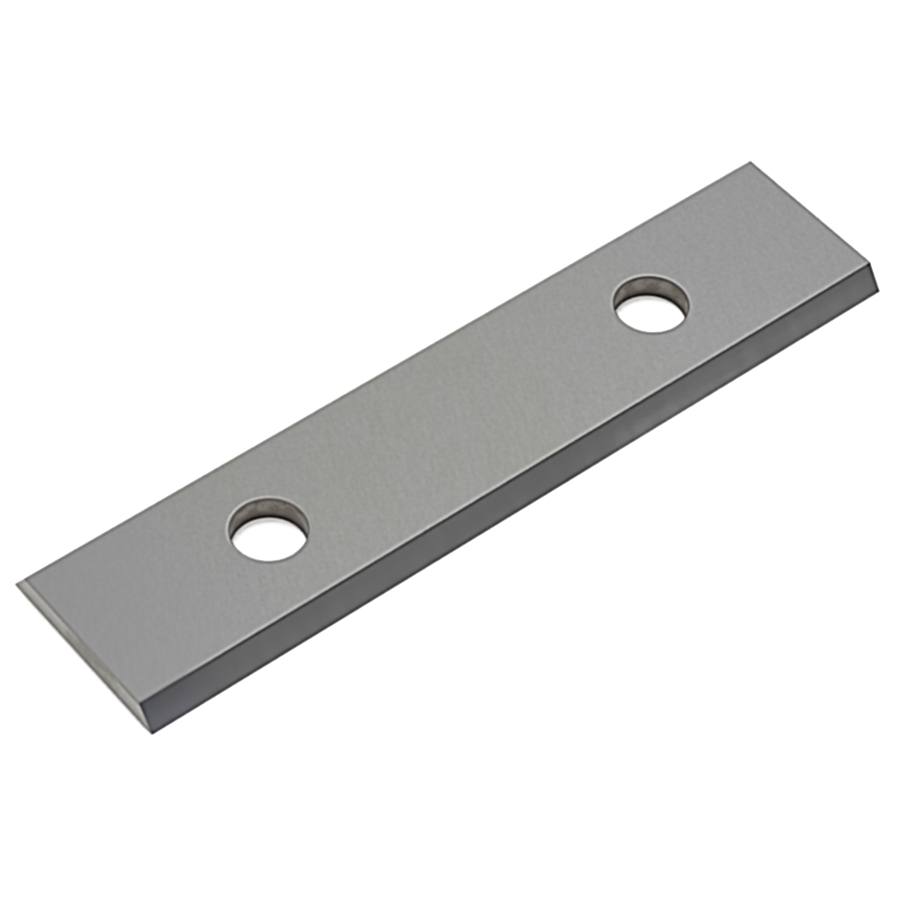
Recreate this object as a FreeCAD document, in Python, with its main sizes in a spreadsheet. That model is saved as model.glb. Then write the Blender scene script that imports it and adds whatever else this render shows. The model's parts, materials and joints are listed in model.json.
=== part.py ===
import FreeCAD, Part
import Sketcher
import math
import os

# Reversible planer knife: a sintered carbide strip with two ground cutting edges and two
# screw holes. When one edge is blunt, the knife is turned round and the other one cuts.
#
# Frame, in millimetres: X runs along the knife, Y across it, Z up through its thickness.
# The wide face, which carries both cutting edges, lies on Z = 0. The narrow face is on top.
# The origin is the centre of the wide face.

doc = FreeCAD.newDocument("planer_knife")

# Driving dimensions, in millimetres and degrees

sizes = doc.addObject("Spreadsheet::Sheet", "Sizes")

driving_dimensions = [
    ("blade_length", 49.5, "end to end along the cutting edges"),
    ("cutting_width", 12.0, "from one cutting edge to the other"),
    ("blade_thickness", 1.5, "between the two ground faces"),
    ("bevel_angle", 35.0, "lean of each ground bevel from the vertical, in degrees"),
    ("screw_spacing", 26.0, "centre to centre of the screw holes"),
    ("screw_hole_diameter", 4.0, "clearance for the clamping screws"),
    ("rim_break", 0.1, "edge break round each hole's rim on the narrow face"),
    ("end_break", 0.08, "edge break round each square end, where nothing cuts"),
]

for row, (alias, value, meaning) in enumerate(driving_dimensions, start=1):
    sizes.set(f"A{row}", alias)
    sizes.set(f"B{row}", str(value))
    sizes.set(f"C{row}", meaning)
    sizes.setAlias(f"B{row}", alias)
doc.recompute()

knife = doc.addObject("PartDesign::Body", "Knife")
knife.Label = "planer_knife"

# Small helpers for the sketches

START, END, CENTRE = 1, 2, 3        # point positions on a sketched line or circle
X_AXIS, Y_AXIS = -1, -2             # the sketch's own axes
ORIGIN = (X_AXIS, START)


def origin_plane(role):
    """The body's own reference plane with this role, such as YZ_Plane."""
    return next(plane for plane in knife.Origin.OriginFeatures if plane.Role == role)


def new_sketch(name, role):
    """An empty sketch of the body, lying flat on one of its reference planes."""
    sketch = knife.newObject("Sketcher::SketchObject", name)
    sketch.AttachmentSupport = [(origin_plane(role), "")]
    sketch.MapMode = "FlatFace"
    return sketch


def drive(sketch, name, expression, *terms):
    """Add a dimension to the sketch under a name, and bind its size to the sheet."""
    constraint = sketch.addConstraint(Sketcher.Constraint(*terms))
    sketch.renameConstraint(constraint, name)
    sketch.setExpression(f"Constraints.{name}", expression)


def relate(sketch, *terms):
    """Add a relation that has no size, such as Horizontal or Symmetric."""
    sketch.addConstraint(Sketcher.Constraint(*terms))


# Cross-section: a symmetric trapezoid, wide at the bottom. Its slanted sides are the bevels,
# and each of its two sharp lower corners is a cutting edge.

section = new_sketch("CrossSection", "YZ_Plane")

bevel_lean = math.radians(sizes.bevel_angle)
half_bottom = sizes.cutting_width / 2
half_top = half_bottom - sizes.blade_thickness * math.tan(bevel_lean)
corners = [
    FreeCAD.Vector(-half_bottom, 0, 0),
    FreeCAD.Vector(half_bottom, 0, 0),
    FreeCAD.Vector(half_top, sizes.blade_thickness, 0),
    FreeCAD.Vector(-half_top, sizes.blade_thickness, 0),
]
sides = [Part.LineSegment(corners[place - 1], corners[place]) for place in range(len(corners))]
left_bevel, wide_face, right_bevel, narrow_face = section.addGeometry(sides, False)

relate(section, "Coincident", left_bevel, END, wide_face, START)
relate(section, "Coincident", wide_face, END, right_bevel, START)
relate(section, "Coincident", right_bevel, END, narrow_face, START)
relate(section, "Coincident", narrow_face, END, left_bevel, START)
relate(section, "Horizontal", wide_face)
relate(section, "Symmetric", wide_face, START, wide_face, END, *ORIGIN)
relate(section, "Symmetric", narrow_face, START, narrow_face, END, Y_AXIS)
drive(
    section, "cutting_width", "Sizes.cutting_width",
    "DistanceX", wide_face, START, wide_face, END, sizes.cutting_width,
)
drive(
    section, "thickness", "Sizes.blade_thickness",
    "DistanceY", right_bevel, START, right_bevel, END, sizes.blade_thickness,
)
drive(
    section, "cutting_edge_angle", "90 deg - Sizes.bevel_angle * 1 deg",
    "Angle", right_bevel, START, wide_face, END, math.pi / 2 - bevel_lean,
)

# The strip: the section carried along the knife, half to each side of its middle

strip = knife.newObject("PartDesign::Pad", "Strip")
strip.Profile = section
strip.SideType = "Symmetric"
strip.setExpression("Length", "Sizes.blade_length")
doc.recompute()

# Screw holes: one drilled from the narrow face on the centre line, the other its mirror image

hole_place = new_sketch("ScrewHolePlace", "XY_Plane")
hole_place.setExpression("AttachmentOffset.Base.z", "Sizes.blade_thickness")

hole_offset = sizes.screw_spacing / 2
hole_radius = sizes.screw_hole_diameter / 2
hole_centre = FreeCAD.Vector(hole_offset, 0, 0)
circle = Part.Circle(hole_centre, FreeCAD.Vector(0, 0, 1), hole_radius)
hole_circle = hole_place.addGeometry(circle, False)

relate(hole_place, "PointOnObject", hole_circle, CENTRE, X_AXIS)
drive(
    hole_place, "from_the_middle", "Sizes.screw_spacing / 2",
    "DistanceX", *ORIGIN, hole_circle, CENTRE, hole_offset,
)
drive(
    hole_place, "diameter", "Sizes.screw_hole_diameter",
    "Diameter", hole_circle, sizes.screw_hole_diameter,
)
doc.recompute()

screw_hole = knife.newObject("PartDesign::Hole", "ScrewHole")
screw_hole.Profile = hole_place
doc.recompute()
screw_hole.Threaded = False
screw_hole.DepthType = "ThroughAll"
screw_hole.setExpression("Diameter", "Sizes.screw_hole_diameter")
doc.recompute()

second_hole = knife.newObject("PartDesign::Mirrored", "SecondScrewHole")
second_hole.Originals = [screw_hole]
second_hole.MirrorPlane = (origin_plane("YZ_Plane"), [""])
knife.Tip = second_hole
doc.recompute()

# Edge breaks: each hole's rim on the narrow face, and the edges all round the two square ends.
# The rims on the wide face stay sharp, as the grinding of that face leaves them.

SAME_PLACE = 1e-6                   # millimetres


def is_upper_rim(edge):
    """A full circle, closed on itself, that lies in the narrow face."""
    is_circle = isinstance(edge.Curve, Part.Circle) and edge.isClosed()
    return is_circle and abs(edge.CenterOfMass.z - sizes.blade_thickness) < SAME_PLACE


def is_on_an_end(edge):
    """An edge that lies in one of the two end faces."""
    return abs(abs(edge.CenterOfMass.x) - sizes.blade_length / 2) < SAME_PLACE


def break_edges(name, base, is_wanted, size):
    """Chamfer the edges of the base feature that the test picks out, by a size in the sheet."""
    names = [f"Edge{place}" for place, edge in enumerate(base.Shape.Edges, start=1) if is_wanted(edge)]
    chamfer = knife.newObject("PartDesign::Chamfer", name)
    chamfer.Base = (base, names)
    chamfer.setExpression("Size", size)
    knife.Tip = chamfer
    doc.recompute()
    return chamfer


hole_rims = break_edges("HoleRims", second_hole, is_upper_rim, "Sizes.rim_break")
break_edges("EndEdges", hole_rims, is_on_an_end, "Sizes.end_break")

knife.Placement = FreeCAD.Placement()
doc.recompute()

# Tests: nothing failed to recompute, both sketches are fully fixed by the sheet, and the holes
# took away two full cylinders

for item in doc.Objects:
    faults = [state for state in item.State if state in ("Invalid", "Error")]
    if faults:
        raise RuntimeError(f"{item.Name} is {faults}")

for sketch in (section, hole_place):
    if not sketch.FullyConstrained:
        raise RuntimeError(f"{sketch.Name} isn't fully constrained")

drilled_out = strip.Shape.Volume - second_hole.Shape.Volume
expected = 2 * math.pi * hole_radius**2 * sizes.blade_thickness
if not math.isclose(drilled_out, expected, rel_tol=1e-6):
    raise RuntimeError(f"the holes removed {drilled_out:.4f} mm3, not {expected:.4f} mm3")

shape = knife.Shape
if shape.isNull() or not shape.isValid() or len(shape.Solids) != 1:
    raise RuntimeError("the knife isn't one valid solid")

# Hand over the finished solid

os.makedirs("parts", exist_ok=True)
shape.exportStep(f"parts/{knife.Label}.step")

box = shape.BoundBox
print(f"{knife.Label}: {box.XLength:.3f} x {box.YLength:.3f} x {box.ZLength:.3f} mm")
print(f"volume {shape.Volume:.2f} mm3, {len(shape.Faces)} faces, {len(shape.Edges)} edges")
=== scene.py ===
# %% [markdown]
# # A planer knife, dressed in Blender
#
# The object is a reversible planer knife: a strip of tungsten carbide about as long as a
# thumb. Its two long sides are ground to a bevel, its short ends are left as they came out
# of the sintering furnace, and two plain holes take the clamping screws.
#
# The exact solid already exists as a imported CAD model. It is loaded here as a fixed frame,
# which gives every size and place. This notebook then models a finer skin over it, gives
# each surface its own finish, and sets up the table, the light and the camera.

import json
import math

import bmesh
import bpy
from mathutils import Matrix, Vector


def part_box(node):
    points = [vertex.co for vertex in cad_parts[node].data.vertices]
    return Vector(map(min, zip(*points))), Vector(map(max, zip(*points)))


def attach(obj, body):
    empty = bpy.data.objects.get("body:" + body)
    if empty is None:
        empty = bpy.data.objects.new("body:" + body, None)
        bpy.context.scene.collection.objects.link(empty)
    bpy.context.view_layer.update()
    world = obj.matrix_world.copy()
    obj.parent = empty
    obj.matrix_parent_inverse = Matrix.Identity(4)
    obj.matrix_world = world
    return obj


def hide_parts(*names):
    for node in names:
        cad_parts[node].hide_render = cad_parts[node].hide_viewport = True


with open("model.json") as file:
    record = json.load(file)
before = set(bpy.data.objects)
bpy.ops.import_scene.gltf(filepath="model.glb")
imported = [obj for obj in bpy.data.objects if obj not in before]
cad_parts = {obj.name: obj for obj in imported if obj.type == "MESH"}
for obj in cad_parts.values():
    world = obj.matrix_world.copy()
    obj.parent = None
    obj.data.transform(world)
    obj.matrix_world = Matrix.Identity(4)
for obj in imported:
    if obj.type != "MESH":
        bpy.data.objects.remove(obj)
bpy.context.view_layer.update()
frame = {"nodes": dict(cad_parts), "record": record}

MM = 0.001
UM = 0.000001

# %% [markdown]
# ## The knife's measures
#
# Nothing is measured twice. The outer sizes come from the CAD node's box, and the holes from
# the mounts in its record. The narrow face on top is found from the node's own highest
# corners. If the CAD part changes, the skin follows it.

# %% Read the measures from the frame
NODE = "planer_knife"
low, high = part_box(NODE)
length, width, thickness = high - low

corners = [corner.co for corner in frame["nodes"][NODE].data.vertices]
top_corners = [corner for corner in corners if corner.z > high.z - UM]
narrow_width = 2 * max(corner.y for corner in top_corners)

bores = [mount for mount in frame["record"]["mounts"] if mount["kind"] == "bore"]
hole_places = [Vector(mount["pos_m"]) for mount in bores]
hole_radius = bores[0]["dims"]["r_mm"] * MM
rim_break = thickness - bores[0]["dims"]["length_mm"] * MM

print(f"knife {length / MM:.2f} x {width / MM:.2f} x {thickness / MM:.2f} mm")
print(f"narrow face {narrow_width / MM:.2f} mm wide")
print(f"holes of radius {hole_radius / MM:.2f} mm, upper rims broken by {rim_break / MM:.2f} mm")

# %% [markdown]
# ## Working on one piece at a time
#
# A Blender operator acts on whatever is selected, and loading the frame leaves the CAD node
# selected. So each step first deselects everything, takes one piece into edit mode, and then
# selects faces or edges by a test on their place or direction, as one would pick them by eye.


# %% Helpers for selecting
def work_on(piece):
    """Make this the only selected object, and the active one."""
    bpy.ops.object.select_all(action="DESELECT")
    piece.select_set(True)
    bpy.context.view_layer.objects.active = piece


def edit(piece, kind, wanted):
    """Go into edit mode with just those faces or edges selected that pass the test."""
    work_on(piece)
    bpy.ops.object.mode_set(mode="EDIT")
    bpy.ops.mesh.select_mode(type=kind)
    bpy.ops.mesh.select_all(action="DESELECT")
    mesh = bmesh.from_edit_mesh(piece.data)
    items = mesh.faces if kind == "FACE" else mesh.edges
    for item in items:
        item.select_set(wanted(item))
    bmesh.update_edit_mesh(piece.data)


def leave_edit_mode():
    bpy.ops.object.mode_set(mode="OBJECT")


# %% [markdown]
# ## The pressed blank
#
# The real knife starts as a flat bar of pressed carbide powder. Here it starts as a cube
# primitive at the knife's outer size. Its bottom lies on the table, at height zero. Applying
# the transform puts the size into the mesh, so that the object stays unscaled at the origin.

# %% Make the blank
bpy.ops.object.select_all(action="DESELECT")
bpy.ops.mesh.primitive_cube_add(size=1, location=(0, 0, thickness / 2))
knife = bpy.context.active_object
knife.name = "ground_knife"
knife.scale = (length, width, thickness)
bpy.ops.object.transform_apply(location=True, rotation=False, scale=True)

print(f"blank with {len(knife.data.polygons)} faces")

# %% [markdown]
# ## Grinding the two bevels
#
# A grinding wheel takes both long sides down at 35 degrees from the vertical, until they meet
# the bottom in two sharp cutting edges. Scaling the top face across the knife, about its own
# centre, gives exactly that form in one move: the sides lean in and stay flat.

# %% Grind the bevels
edit(knife, "FACE", lambda face: face.normal.z > 0.5)
bpy.ops.transform.resize(value=(1, narrow_width / width, 1))
leave_edit_mode()

bevel_run = (width - narrow_width) / 2
bevel_lean = math.atan2(bevel_run, thickness)
print(f"bevels lean {math.degrees(bevel_lean):.1f} degrees from the vertical")

# %% [markdown]
# ## The screw holes
#
# The real holes are moulded into the powder before it is sintered. Here a cylinder with many
# sides is subtracted from the blank by a Boolean modifier, once at each place in the record.
# It stands out of both faces, because a cutter that ends level with a face leaves torn edges.

# %% Cut the screw holes
HOLE_SIDES = 192

for place in hole_places:
    bpy.ops.object.select_all(action="DESELECT")
    bpy.ops.mesh.primitive_cylinder_add(
        vertices=HOLE_SIDES, radius=hole_radius, depth=3 * thickness, location=place
    )
    cutter = bpy.context.active_object
    work_on(knife)
    drill = knife.modifiers.new("screw hole", "BOOLEAN")
    drill.operation = "DIFFERENCE"
    drill.solver = "EXACT"
    drill.object = cutter
    bpy.ops.object.modifier_apply(modifier=drill.name)
    bpy.data.objects.remove(cutter)

print(f"{len(knife.data.polygons)} faces after cutting {len(hole_places)} holes")

# %% [markdown]
# ## Edge breaks
#
# Hardly any real edge is perfectly sharp, and the thin line of light along an edge is what
# makes a part look solid. Three kinds of edge are lightly broken: the upper rims of the holes,
# the edges round the square ends, and the blunt corner between each bevel and the narrow face.
# The two cutting edges stay sharp, and so do the lower hole rims, as the grinding of the wide
# face leaves them.
#
# The bevel operator rounds the selected edges with a few narrow faces. Edges that meet in a
# corner are bevelled in one go, because a second go would leave a corner standing proud.


# %% Tests for the edges to break
def in_top_face(edge):
    """Both ends of the edge are in the top face."""
    return all(corner.co.z > thickness - UM for corner in edge.verts)


def is_upper_rim(edge):
    """A short edge in the top face, whose two ends are both a radius from a hole's centre."""
    is_round_a_hole = any(
        all(abs((corner.co - place).xy.length - hole_radius) < UM for corner in edge.verts)
        for place in hole_places
    )
    return in_top_face(edge) and is_round_a_hole and edge.calc_length() < hole_radius / 4


def is_end(edge):
    """An edge that runs round one of the two square ends."""
    is_far_out = all(abs(abs(corner.co.x) - length / 2) < UM for corner in edge.verts)
    is_at_one_end = edge.verts[0].co.x * edge.verts[1].co.x > 0
    return is_far_out and is_at_one_end


def is_back_of_bevel(edge):
    """One of the long blunt edges between a bevel and the narrow face."""
    is_beside_a_bevel = all(
        abs(abs(corner.co.y) - narrow_width / 2) < UM for corner in edge.verts
    )
    return in_top_face(edge) and is_beside_a_bevel and edge.calc_length() > length / 2


# %% Break the edges
EDGE_BREAK = 0.05 * MM


def break_edges(wanted, size):
    edit(knife, "EDGE", wanted)
    bpy.ops.mesh.bevel(offset=size, segments=3, affect="EDGES", clamp_overlap=False)
    leave_edit_mode()


break_edges(is_upper_rim, rim_break)
break_edges(lambda edge: is_end(edge) or is_back_of_bevel(edge), EDGE_BREAK)

print(f"{len(knife.data.polygons)} faces after the edge breaks")

# %% [markdown]
# ## Smooth shading that keeps flat faces flat
#
# Smooth shading blends the normals of neighbouring faces, which is right on a hole's wall but
# would put a false sheen across the big flat faces. The Weighted Normal modifier lets each
# large face decide the normals at its own border, so that only the narrow edge breaks bend.

# %% Shade the knife
SHARPEST_SMOOTH_EDGE = math.radians(50)

work_on(knife)
bpy.ops.object.shade_smooth_by_angle(angle=SHARPEST_SMOOTH_EDGE)
weigh = knife.modifiers.new("flat faces stay flat", "WEIGHTED_NORMAL")
weigh.weight = 100
weigh.keep_sharp = True
bpy.ops.object.modifier_apply(modifier=weigh.name)

print(f"smooth over edges of up to {math.degrees(SHARPEST_SMOOTH_EDGE):.0f} degrees")

# %% [markdown]
# ## Shader maths in plain Python
#
# A finish is a net of small nodes. Wiring each one by hand hides the idea, so two small
# classes do it. A Bench adds any node, with its settings and the values or links of its
# sockets. A Field is one output of such a node, and arithmetic on it adds a Math node. So
# `0.4 + 0.1 * marks` reads as what it does: roughness that the grinding marks change a little.


# %% A field, one output of a node
class Field:
    """A number that changes over a surface: one output socket of a bench's nodes."""

    def __init__(self, bench, socket):
        self.bench = bench
        self.socket = socket

    def _math(self, operation, first, second):
        return self.bench.node("ShaderNodeMath", {"operation": operation}, {0: first, 1: second})

    def __add__(self, other):
        return self._math("ADD", self, other)

    def __radd__(self, other):
        return self._math("ADD", other, self)

    def __sub__(self, other):
        return self._math("SUBTRACT", self, other)

    def __rsub__(self, other):
        return self._math("SUBTRACT", other, self)

    def __mul__(self, other):
        return self._math("MULTIPLY", self, other)

    def __rmul__(self, other):
        return self._math("MULTIPLY", other, self)


# %% A bench, which adds the nodes
class Bench:
    """Adds nodes to one node tree, which starts empty."""

    def __init__(self, tree):
        self.tree = tree
        tree.nodes.clear()

    def node(self, kind, settings=None, values=None, output=0):
        """Add a node. Settings come first, then sockets, each given a value or a Field."""
        new = self.tree.nodes.new(kind)
        for name, setting in (settings or {}).items():
            if name == "stops":
                self._set_stops(new.color_ramp.elements, setting)
            else:
                setattr(new, name, setting)
        for name, value in (values or {}).items():
            if isinstance(value, Field):
                self.tree.links.new(value.socket, new.inputs[name])
            else:
                new.inputs[name].default_value = value
        return Field(self, new.outputs[output]) if new.outputs else new

    def _set_stops(self, elements, stops):
        while len(elements) > 1:
            elements.remove(elements[-1])
        for number, (position, colour) in enumerate(stops):
            element = elements[0] if number == 0 else elements.new(position)
            element.position = position
            element.color = colour

    def mix(self, share, first, second):
        """A colour between two colours: the first where share is 0, the second where it is 1."""
        values = {"Factor": share, 6: first, 7: second}
        return self.node("ShaderNodeMix", {"data_type": "RGBA"}, values, output=2)

    def between(self, field, low_end, high_end):
        """0 where the field is at the low end or below it, 1 at the high end or above it."""
        values = {"Value": field, "From Min": low_end, "From Max": high_end}
        return self.node("ShaderNodeMapRange", {"interpolation_type": "SMOOTHSTEP"}, values)

    def bump(self, height, depth, under=None):
        """A normal tilted by a height from 0 to 1, times a depth in metres, over another."""
        values = {"Height": height, "Distance": depth}
        if under is not None:
            values["Normal"] = under
        return self.node("ShaderNodeBump", None, values)


# %% The start and the end of a finish
def new_finish(name):
    """A new material, and a bench for its nodes."""
    material = bpy.data.materials.new(name)
    material.use_nodes = True
    return material, Bench(material.node_tree)


def grey(level, warmth=0.0):
    """An almost neutral colour. Warmth takes away blue, and negative warmth adds it."""
    return (level, level * (1 - warmth / 8), level * (1 - warmth), 1.0)


def set_surface(bench, **values):
    """End a finish in one Principled shader. Names with a space are given with a low dash."""
    sockets = {name.replace("_", " "): value for name, value in values.items()}
    shader = bench.node("ShaderNodeBsdfPrincipled", None, sockets)
    bench.node("ShaderNodeOutputMaterial", None, {"Surface": shader})
    print(f"finish of {len(bench.tree.nodes)} nodes")


# %% [markdown]
# ## Grinding marks
#
# A surface grinder leaves thousands of fine parallel scratches. Noise drawn far out along one
# direction looks just like that. A Mapping node of the Texture type takes the size of one mark
# in metres, so the marks have their real scale, and its rotation sets the way they run. The
# same noise with a round grain gives specks, patches and pits.


# %% A field of marks
def marks(bench, size, turn=(0, 0, 0), detail=2.0):
    """Noise from 0 to 1 whose grains have this size, as width, length and depth, turned."""
    place = bench.node("ShaderNodeTexCoord", output=3)
    spread = bench.node(
        "ShaderNodeMapping",
        {"vector_type": "TEXTURE"},
        {"Vector": place, "Rotation": turn, "Scale": size},
    )
    return bench.node("ShaderNodeTexNoise", None, {"Vector": spread, "Scale": 1.0, "Detail": detail})


# %% [markdown]
# ## Masks from a point's place
#
# Wear, stains and dirt sit in certain places: along an edge, round a hole, at one end. Each is
# a mask, a field that is 1 there and 0 elsewhere, worked out from the Object coordinates of the
# point. Those stay with the knife when it or the camera moves.


# %% Where a point of the surface is
def axes(bench):
    """The three Object coordinates of a point: along the knife, across it, and its height."""
    place = bench.node("ShaderNodeTexCoord", output=3)
    return [bench.node("ShaderNodeSeparateXYZ", None, {"Vector": place}, n) for n in range(3)]


def size_of(field):
    """The field without its sign."""
    return field.bench.node("ShaderNodeMath", {"operation": "ABSOLUTE"}, {0: field})


def distance(bench, along, across, centre):
    """How far a point is from the upright axis through this centre."""
    here = bench.node("ShaderNodeCombineXYZ", None, {"X": along, "Y": across})
    there = (centre.x, centre.y, 0)
    return bench.node("ShaderNodeVectorMath", {"operation": "DISTANCE"}, {0: here, 1: there}, output=1)


def from_the_left(bench, along, start, end):
    """0 up to the start and 1 from the end on, both measured from the knife's left end."""
    return bench.between(along, start - length / 2, end - length / 2)


# %% [markdown]
# ## The two ground faces
#
# The wide and the narrow face are surface ground to an even, silky grey. The wheel's marks run
# across the knife, a little aslant, in two sizes, with tiny round specks among them. The middle
# of the knife, where it is picked up, has faint warmer patches, which end raggedly because
# clouds of noise move their limit to and fro. Each of these is a field, and the colours and
# the relief further down are mixed by them.

# %% Marks and patches of the ground faces
SLANT = (0, 0, math.radians(-27))
GRIP_CENTRE = -2 * MM
RAGGEDNESS = 20 * MM

ground_face, bench = new_finish("ground_face")
along, across, height = axes(bench)

fine_marks = marks(bench, (0.1 * MM, 0.9 * MM, 0.9 * MM), SLANT)
broad_marks = marks(bench, (0.5 * MM, 4 * MM, 4 * MM), SLANT)
specks = marks(bench, (0.2 * MM, 0.2 * MM, 0.2 * MM))
marked = 0.2 * fine_marks + 0.2 * broad_marks + 0.6 * specks

clouds = marks(bench, (5 * MM, 5 * MM, 5 * MM), detail=3.0)
patches = bench.between(marks(bench, (1.3 * MM, 2.6 * MM, 2.6 * MM), SLANT), 0.4, 0.6)
from_the_grip = size_of(along - GRIP_CENTRE) + RAGGEDNESS * clouds
gripped = 1 - bench.between(from_the_grip, 16 * MM, 28 * MM)
handled = gripped * (0.4 + 0.6 * patches)

print(f"marks turned by {math.degrees(SLANT[2]):.0f} degrees")

# %% [markdown]
# ## Wear on the narrow face
#
# Handling rolls the narrow face off by about a hundredth of a millimetre along its front edge
# and round the hole rims, and hardly at all along its back edge. Such a strip is turned to the
# light, so it shows as a thin bright line. It is far too small for the mesh, so it becomes a
# bump: the field `worn` is 1 at the edge and falls to 0 a little way in. Near the left corner
# the line fades out.

# %% Masks for the worn edges
WORN_WIDTH = 0.15 * MM
FADE_START = 2 * MM
FADE_END = 5 * MM

long_edge = narrow_width / 2 - EDGE_BREAK
rim = hole_radius + rim_break

on_top = bench.between(height, 0.4 * thickness, 0.6 * thickness)
front_edge = on_top * (1 - bench.between(across, -long_edge, WORN_WIDTH - long_edge))
back_edge = on_top * bench.between(across, long_edge - WORN_WIDTH, long_edge)
hole_rims = 0
for place in hole_places:
    from_hole = distance(bench, along, across, place)
    hole_rims = hole_rims + on_top * (1 - bench.between(from_hole, rim, rim + WORN_WIDTH))
past_the_corner = from_the_left(bench, along, FADE_START, FADE_END)
worn = past_the_corner * front_edge + 0.15 * back_edge + hole_rims

print(f"worn strips {WORN_WIDTH / MM:.2f} mm wide")

# %% [markdown]
# ## Colour and relief of the ground faces
#
# The metal's grey is laid down first, and then one mask after another changes it: darker in the
# marks, more even at the smoother left end, and lighter round the hole rims, which is a painted
# highlight. Then painted shade: a thin dark strip along both square ends, next to the unground
# skin, and along the front edge near the left corner. Two bumps follow, the marks and over them
# the roll-off.

# %% Finish of the ground faces
BARE = grey(0.39)
WARM = grey(0.39, warmth=0.13)
IN_THE_MARKS = grey(0.305)
EVEN = grey(0.347)
# painted highlight round the hole rims
PAINTED_RIM_HIGHLIGHT = grey(0.6)
# painted shade: the colour of the thin dark lines along the ends and the front edge
PAINTED_EDGE_SHADE = grey(0.2)
END_STRIP = 0.2 * MM
MARK_DEPTH = 0.7 * UM
ROLL_OFF = 12 * UM

strip_start = length / 2 - END_STRIP
strip_end = length / 2 - EDGE_BREAK
# painted shade in a thin strip along each square end, next to the unground skin
left_end_shade = bench.between(-1 * along, strip_start, strip_end)
right_end_shade = bench.between(along, strip_start, strip_end)
smoother_end = 1 - from_the_left(bench, along, 3 * MM, 10 * MM)

colour = bench.mix(handled, BARE, WARM)
colour = bench.mix(marked, colour, IN_THE_MARKS)
colour = bench.mix(0.6 * smoother_end, colour, EVEN)
# painted highlight: the hole rims made lighter in colour
colour = bench.mix(0.3 * hole_rims, colour, PAINTED_RIM_HIGHLIGHT)
# painted shade along the square ends, stronger at the right end
colour = bench.mix(0.4 * left_end_shade + 0.8 * right_end_shade, colour, PAINTED_EDGE_SHADE)
# painted shade along the front edge near the left corner, where the worn line fades out
colour = bench.mix(0.5 * (1 - past_the_corner) * front_edge, colour, PAINTED_EDGE_SHADE)

relief = bench.bump(fine_marks + broad_marks, MARK_DEPTH)
set_surface(
    bench,
    Base_Color=colour,
    Metallic=1.0,
    Roughness=0.36 + 0.08 * fine_marks,
    Normal=bench.bump(1 - worn, ROLL_OFF, under=relief),
)

# %% [markdown]
# ## The ground bevels
#
# The bevels are ground with a finer wheel, straight across the edge. They look darker than
# the faces, mostly because they lean towards the dim part of the room, and partly because the
# smoother surface mirrors it more. They get lighter towards the cutting edge, with slow waves
# left by the wheel, and end in a thin dark line of painted shade at their back. The front bevel
# has painted blue-grey shade at its left end, a painted reflection of a dim part of the room, and
# a stretch on the right painted lighter, which is a painted highlight.
#
# Metal mirrors strongly at a flat angle. The Specular Tint holds that back, as the fine
# scratches of a real bevel do.

# %% Marks and masks of the bevels
# length of the painted blue-grey shade at the front bevel's left end
DIM_END_LENGTH = 7 * MM
# centre of the painted highlight on the front bevel
LIT_STRETCH_CENTRE = 13 * MM

ground_bevel, bench = new_finish("ground_bevel")
along, across, height = axes(bench)

fine_marks = marks(bench, (0.04 * MM, 1.5 * MM, 1.5 * MM))
broad_marks = marks(bench, (0.8 * MM, 9 * MM, 9 * MM))
waves = bench.between(marks(bench, (7 * MM, 1.5 * MM, 1.5 * MM)), 0.35, 0.65)

near_edge = 1 - bench.between(height, 0.0, thickness)
near_back = bench.between(height, 0.9 * thickness, 0.98 * thickness)
front = 1 - bench.between(across, -MM, MM)
# painted shade with a painted blue reflection, at the front bevel's left end
painted_dim_end = front * (1 - from_the_left(bench, along, 0.0, DIM_END_LENGTH))
# painted highlight: a lighter stretch on the right of the front bevel
painted_lit_stretch = front * (1 - bench.between(size_of(along - LIT_STRETCH_CENTRE), 4 * MM, 13 * MM))

# the printed length is that of the painted blue-grey shade at the bevel's left end
print(f"heat stain {DIM_END_LENGTH / MM:.0f} mm long on the front bevel")

# %% Finish of the ground bevels
AT_THE_BACK = grey(0.36)
AT_THE_EDGE = grey(0.45)
# painted highlight on the front bevel's right stretch
PAINTED_BEVEL_HIGHLIGHT = grey(0.64)
IN_THE_WAVES = grey(0.29)
# painted blue-grey shade at the left end: dark at the back, lighter at the cutting edge
DIM_END_AT_THE_BACK = grey(0.155, warmth=-0.25)
DIM_END_AT_THE_EDGE = grey(0.37, warmth=-0.25)
# painted shade: the thin dark line at the back of each bevel
PAINTED_BACK_SHADE = grey(0.1)
IN_FINE_MARKS = grey(0.28)
FLAT_ANGLE_TINT = grey(0.4)
FINE_MARK_DEPTH = 0.8 * UM

painted_blue_shade = bench.mix(near_edge, DIM_END_AT_THE_BACK, DIM_END_AT_THE_EDGE)

# painted highlight on the right stretch near the cutting edge
colour = bench.mix(near_edge, AT_THE_BACK, bench.mix(painted_lit_stretch, AT_THE_EDGE, PAINTED_BEVEL_HIGHLIGHT))
colour = bench.mix(0.35 * waves, colour, IN_THE_WAVES)
# painted blue-grey shade at the front bevel's left end
colour = bench.mix(painted_dim_end, colour, painted_blue_shade)
# painted shade along the back of the bevels, weaker at the front bevel's left end
colour = bench.mix(near_back * (1 - 0.8 * painted_dim_end), colour, PAINTED_BACK_SHADE)
colour = bench.mix(0.5 * fine_marks + 0.5 * broad_marks, colour, IN_FINE_MARKS)

set_surface(
    bench,
    Base_Color=colour,
    Metallic=1.0,
    Roughness=0.18 + 0.08 * fine_marks,
    Specular_Tint=FLAT_ANGLE_TINT,
    Normal=bench.bump(fine_marks + broad_marks, FINE_MARK_DEPTH),
)

# %% [markdown]
# ## The burnished corner
#
# The blunt corner behind each bevel has been rubbed smooth by every table and thumb it has
# met. It is the same metal with almost no marks, so it mirrors the light as one bright line
# with small glints. Its colour is a painted highlight that gets brighter to the right, and
# painted shade makes it dull at the left corner.

# %% Finish of the blunt corner
burnished_edge_painted_highlight, bench = new_finish("burnished_edge_painted_highlight")
along = axes(bench)[0]

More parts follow.
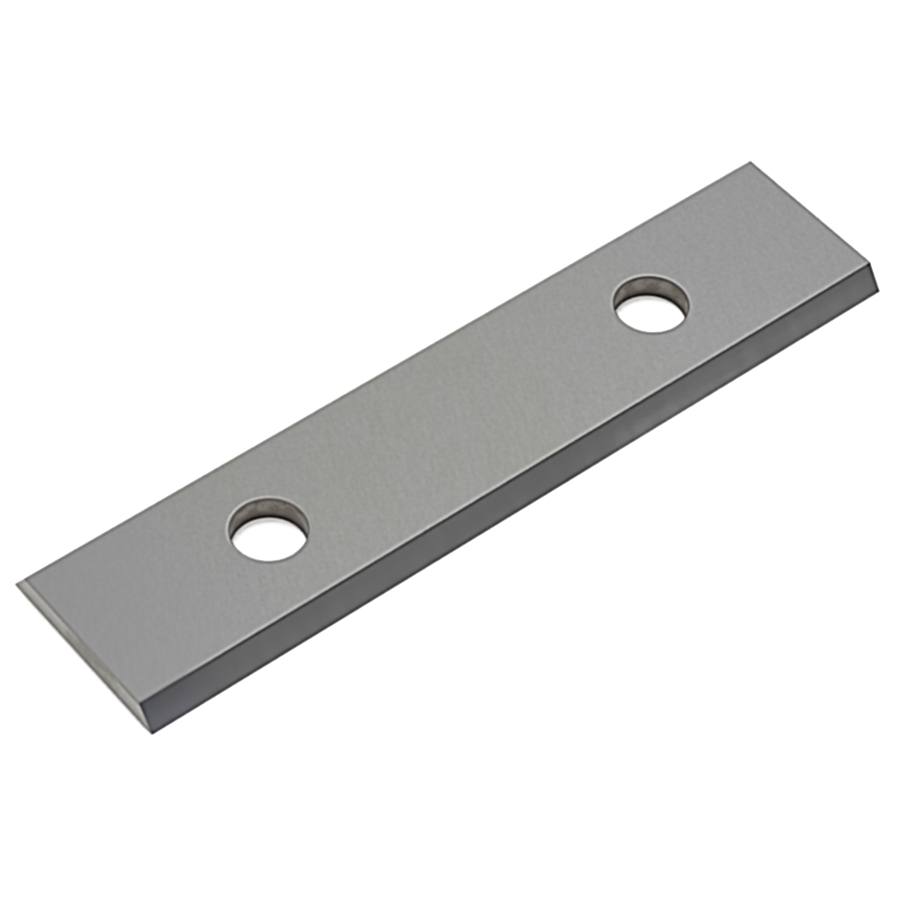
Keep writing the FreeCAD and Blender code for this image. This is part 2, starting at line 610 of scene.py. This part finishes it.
glints = marks(bench, (0.3 * MM, 0.1 * MM, 0.1 * MM), detail=3.0)
to_the_right = from_the_left(bench, along, 0.0, length)
past_the_corner = from_the_left(bench, along, FADE_START, FADE_END)

# painted highlight: a near-white metal colour that brightens to the right
painted_highlight = bench.mix(to_the_right, grey(0.4), grey(1.0))
# painted shade dulls the corner's colour near the left end
painted_highlight = bench.mix(past_the_corner, grey(0.15), painted_highlight)
set_surface(
    bench,
    Base_Color=bench.mix(glints * past_the_corner, painted_highlight, grey(0.4)),
    Metallic=1.0,
    Roughness=0.15 + 0.2 * glints,
)

# %% [markdown]
# ## Sintered skin
#
# The ends and the hole walls were never ground. They keep the skin of the furnace: rough,
# mottled from beige to brown, with fine pits. Metal powder fused at the surface reflects
# little, so the skin is only partly metallic. It is paler on the ends, which are browner
# towards their middle, and darker in the holes. Painted shade darkens it towards the bottom,
# and a thin line of painted shade runs along its upper rim, darker to the right. One function
# makes both finishes.

# %% A sintered skin
GRAIN = 0.09 * MM
PIT_DEPTH = 12 * UM
BROWN_CENTRE = -1 * MM


def sintered_finish(name, patch_size, browner_middle, pale, dark, painted_foot_shade, left_rim_shade, right_rim_shade):
    """A mottled, pitted skin, with painted shade in colours of its own towards the bottom and along
    its upper rim.
    """
    material, bench = new_finish(name)
    along, across, height = axes(bench)
    patches = marks(bench, (patch_size, patch_size, patch_size), detail=3.0)
    grains = marks(bench, (GRAIN, GRAIN, GRAIN))
    middle = 1 - bench.between(size_of(across - BROWN_CENTRE), MM, 4 * MM)
    browned = (1 - browner_middle) * patches + browner_middle * middle + 0.25 * grains
    mottle = bench.between(browned, 0.5, 0.75)
    # painted shade, strongest at the bottom and gone above 0.7 of the thickness
    above_the_foot_shade = bench.between(height, 0.0, 0.7 * thickness)
    # painted shade in a thin line along the upper rim
    at_the_rim_shade = bench.between(height, thickness - 2 * EDGE_BREAK, thickness - EDGE_BREAK)
    to_the_right = bench.between(along, -length / 4, length / 4)
    # painted shade towards the bottom of the skin
    skin = bench.mix(above_the_foot_shade, painted_foot_shade, bench.mix(mottle, pale, dark))
    # the painted rim shade gets darker to the right
    rim_shade_colour = bench.mix(to_the_right, left_rim_shade, right_rim_shade)
    set_surface(
        bench,
        Base_Color=bench.mix(at_the_rim_shade, skin, rim_shade_colour),
        Metallic=0.3,
        Roughness=0.5 + 0.2 * grains,
        Normal=bench.bump(grains, PIT_DEPTH),
    )
    return material


# %% Finish of the ends and of the hole walls
sintered_end = sintered_finish(
    "sintered_end",
    patch_size=1.5 * MM,
    browner_middle=0.3,
    pale=(0.34, 0.335, 0.31, 1),
    dark=(0.215, 0.20, 0.175, 1),
    # painted shade at the bottom of the ends
    painted_foot_shade=(0.27, 0.26, 0.24, 1),
    # painted shade along the ends' upper rim, darker to the right
    left_rim_shade=(0.25, 0.24, 0.22, 1),
    right_rim_shade=(0.12, 0.11, 0.10, 1),
)
sintered_bore = sintered_finish(
    "sintered_bore",
    patch_size=0.9 * MM,
    browner_middle=0.0,
    pale=(0.29, 0.27, 0.24, 1),
    dark=(0.20, 0.17, 0.14, 1),
    # dark painted shade at the bottom of the hole walls
    painted_foot_shade=(0.08, 0.068, 0.057, 1),
    # painted shade along the hole walls' upper rim, darker to the right
    left_rim_shade=(0.18, 0.165, 0.15, 1),
    right_rim_shade=(0.125, 0.115, 0.105, 1),
)

# %% [markdown]
# ## Putting the finishes on
#
# One piece can wear several finishes, one for each material slot, and every face belongs to
# one slot. The faces are picked by where they are and which way they point. Level faces are
# ground. What is left at an end or round a hole is sintered skin. Of the rest, the faces that
# are nearly level belong to the blunt corner, and those that lean further are the bevels.

# %% Assign the finishes
FINISHES = (ground_face, ground_bevel, sintered_end, sintered_bore, burnished_edge_painted_highlight)
LEVEL = 0.999
NEARLY_LEVEL = 0.8

for finish in FINISHES:
    knife.data.materials.append(finish)


def finish_of(face):
    """The finish that a face wears."""
    if abs(face.normal.z) > LEVEL:
        return ground_face
    if abs(face.center.x) > length / 2 - EDGE_BREAK:
        return sintered_end
    if abs(face.center.y) < hole_radius + rim_break:
        return sintered_bore
    if face.normal.z > NEARLY_LEVEL:
        return burnished_edge_painted_highlight
    return ground_bevel


for face in knife.data.polygons:
    face.material_index = FINISHES.index(finish_of(face))

slots = [face.material_index for face in knife.data.polygons]
for slot, finish in enumerate(FINISHES):
    print(f"{finish.name} on {slots.count(slot)} faces")

# %% [markdown]
# ## Joining the frame
#
# The skin replaces the CAD node in the picture, while the node stays in the frame for
# collision. The whole knife is one body, so the skin rides on the root.

# %% Tie the knife to the frame
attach(knife, "root")
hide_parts(NODE)

print(f"{knife.name} stands for {NODE}")

# %% [markdown]
# ## The table
#
# The knife lies on a pale table that fills the view. The table glows a little by itself,
# as a lit white sweep does, so that it stays clean and the shadow under the edges stays soft.
# It lies a hair below the knife, because two faces at the same height would flicker.

# %% Lay the table
TABLE_SIZE = 4.0
TABLE_GAP = 2 * UM

bpy.ops.object.select_all(action="DESELECT")
bpy.ops.mesh.primitive_plane_add(size=TABLE_SIZE, location=(0, 0, -TABLE_GAP))
table = bpy.context.active_object
table.name = "table"
pale_sweep, bench = new_finish("pale_sweep")
set_surface(
    bench,
    Base_Color=grey(0.88),
    Roughness=0.8,
    Emission_Color=grey(1.0),
    Emission_Strength=0.2,
)
table.data.materials.append(pale_sweep)

# %% [markdown]
# ## Soft light from all round
#
# Bare metal shows what it mirrors, so the light is built for its reflections. The room is a
# dome, bright overhead and dim towards the horizon. The flat faces mirror the bright part and
# the bevels the dim part, which is what tells them apart. Camera rays see plain white instead.

# %% Light the room
DOME = [(0.0, grey(0.25)), (0.2, grey(0.35)), (0.5, grey(0.6)), (1.0, grey(0.7))]

world = bpy.data.worlds.new("room")
bpy.context.scene.world = world
world.use_nodes = True
bench = Bench(world.node_tree)

direction = bench.node("ShaderNodeTexCoord", output=0)
rise = bench.node("ShaderNodeSeparateXYZ", None, {"Vector": direction}, output=2)
dome = bench.node("ShaderNodeValToRGB", {"stops": DOME}, {"Fac": rise})
seen_directly = bench.node("ShaderNodeLightPath", output=0)
colour = bench.mix(seen_directly, dome, grey(1.0))
light = bench.node("ShaderNodeBackground", None, {"Color": colour, "Strength": 1.0})
bench.node("ShaderNodeOutputWorld", None, {"Surface": light})

print(f"dome of {len(DOME)} greys from the horizon up")

# %% [markdown]
# ## A lamp and a softbox
#
# The lamp stands high behind the knife and throws the short shadow into the far side of the
# holes. It is hidden from reflections, where it would burn a white spot into the metal. The
# softbox hangs where the top face mirrors it to the camera. It is seen only in reflections, as
# a large pale card would be, and adds no light to the table.

# %% Hang the lamp and the softbox
LAMP_FROM = Vector((0.10, 0.24, 0.966))
SOFTBOX_FROM = Vector((0.42, 0.32, 0.85))


def hang_light(name, kind, direction, away, settings):
    """Add a light in this direction from the knife, pointing back at the knife."""
    aim = direction.to_track_quat("Z", "Y").to_euler()
    bpy.ops.object.select_all(action="DESELECT")
    bpy.ops.object.light_add(type=kind, location=away * direction, rotation=aim)
    light = bpy.context.active_object
    light.name = name
    for setting, value in settings.items():
        setattr(light.data, setting, value)
    print(f"{name} hung {away:.1f} m away")
    return light


lamp = hang_light("lamp", "SUN", LAMP_FROM, 0.5, {"energy": 2.2, "angle": math.radians(14)})
lamp.visible_glossy = False
softbox = hang_light(
    "softbox", "AREA", SOFTBOX_FROM, 0.4, {"energy": 0.105, "shape": "DISK", "size": 0.2}
)
softbox.visible_diffuse = False

# %% [markdown]
# ## The camera
#
# The photograph looks down on the knife from its front left corner with a long lens. The
# camera stands on a sphere round the point that it looks at, and is tilted a little about its
# own axis, as a camera held by hand is.

# %% Set up the camera
AZIMUTH = math.radians(-40.82)
ELEVATION = math.radians(49.52)
TILT = math.radians(2.618)
DISTANCE = 186.98 * MM
LOOKS_AT = Vector((-1.419, -0.512, 0)) * MM
FOCAL_LENGTH = 141.27

back = Vector(
    (
        math.sin(AZIMUTH) * math.cos(ELEVATION),
        -math.cos(AZIMUTH) * math.cos(ELEVATION),
        math.sin(ELEVATION),
    )
)
level_right = Vector((math.cos(AZIMUTH), math.sin(AZIMUTH), 0))
right = Matrix.Rotation(TILT, 3, back) @ level_right
up = back.cross(right)
stance = Matrix((right, up, back)).transposed()

bpy.ops.object.select_all(action="DESELECT")
bpy.ops.object.camera_add(location=LOOKS_AT + DISTANCE * back, rotation=stance.to_euler())
camera = bpy.context.active_object
camera.data.lens = FOCAL_LENGTH
camera.data.clip_start = 10 * MM
camera.data.clip_end = 10.0
bpy.context.scene.camera = camera

print(f"camera {DISTANCE / MM:.0f} mm away, {math.degrees(ELEVATION):.0f} degrees up")

# %% [markdown]
# ## Developing the picture
#
# A shop's product photo is always sharpened, and that draws a thin light and dark line along
# every edge. The same is done here by unsharp masking. A slightly blurred picture minus a more
# blurred one leaves only the edges, and these are added back. It is done in the eye's own scale
# and not in linear light, so the picture is taken to that scale first and back afterwards.
#
# The edges are taken from a copy without colour, in which the white table is held down to a
# light grey. Otherwise the knife's outline, next to pure white, would be drawn far too hard.

# %% Tools for developing
scene = bpy.context.scene
scene.view_settings.view_transform = "Standard"
scene.use_nodes = True
bench = Bench(scene.node_tree)


def blend(mode, first, second):
    return bench.node("CompositorNodeMixRGB", {"blend_type": mode}, {0: 1.0, 1: first, 2: second})


def blurred(picture, size):
    settings = {"filter_type": "GAUSS", "size_x": size, "size_y": size}
    return bench.node("CompositorNodeBlur", settings, {"Image": picture})


def to_scale(picture, power):
    return bench.node("CompositorNodeGamma", None, {"Image": picture, "Gamma": power})


# %% Develop the picture
SHARPNESS = 2.9
EYE = 2.2
SLIGHT_BLUR = 3
STRONG_BLUR = 6
BLACK = grey(0.0)
WHITE = grey(1.0)
HELD_DOWN = grey(0.68)
NO_COLOUR = grey(0.5)

taken = bench.node("CompositorNodeRLayers")
as_seen = to_scale(blend("DARKEN", taken, WHITE), 1 / EYE)
grey_table = to_scale(blend("DARKEN", taken, HELD_DOWN), 1 / EYE)
grey_table = blend("SATURATION", grey_table, NO_COLOUR)
edges = blend("SUBTRACT", blurred(grey_table, SLIGHT_BLUR), blurred(grey_table, STRONG_BLUR))
crisp = blend("ADD", blurred(as_seen, SLIGHT_BLUR), blend("MULTIPLY", edges, grey(SHARPNESS)))
crisp = blend("DARKEN", blend("LIGHTEN", crisp, BLACK), WHITE)
bench.node("CompositorNodeComposite", None, {"Image": to_scale(crisp, EYE)})

print(f"developed by {len(scene.node_tree.nodes)} nodes")
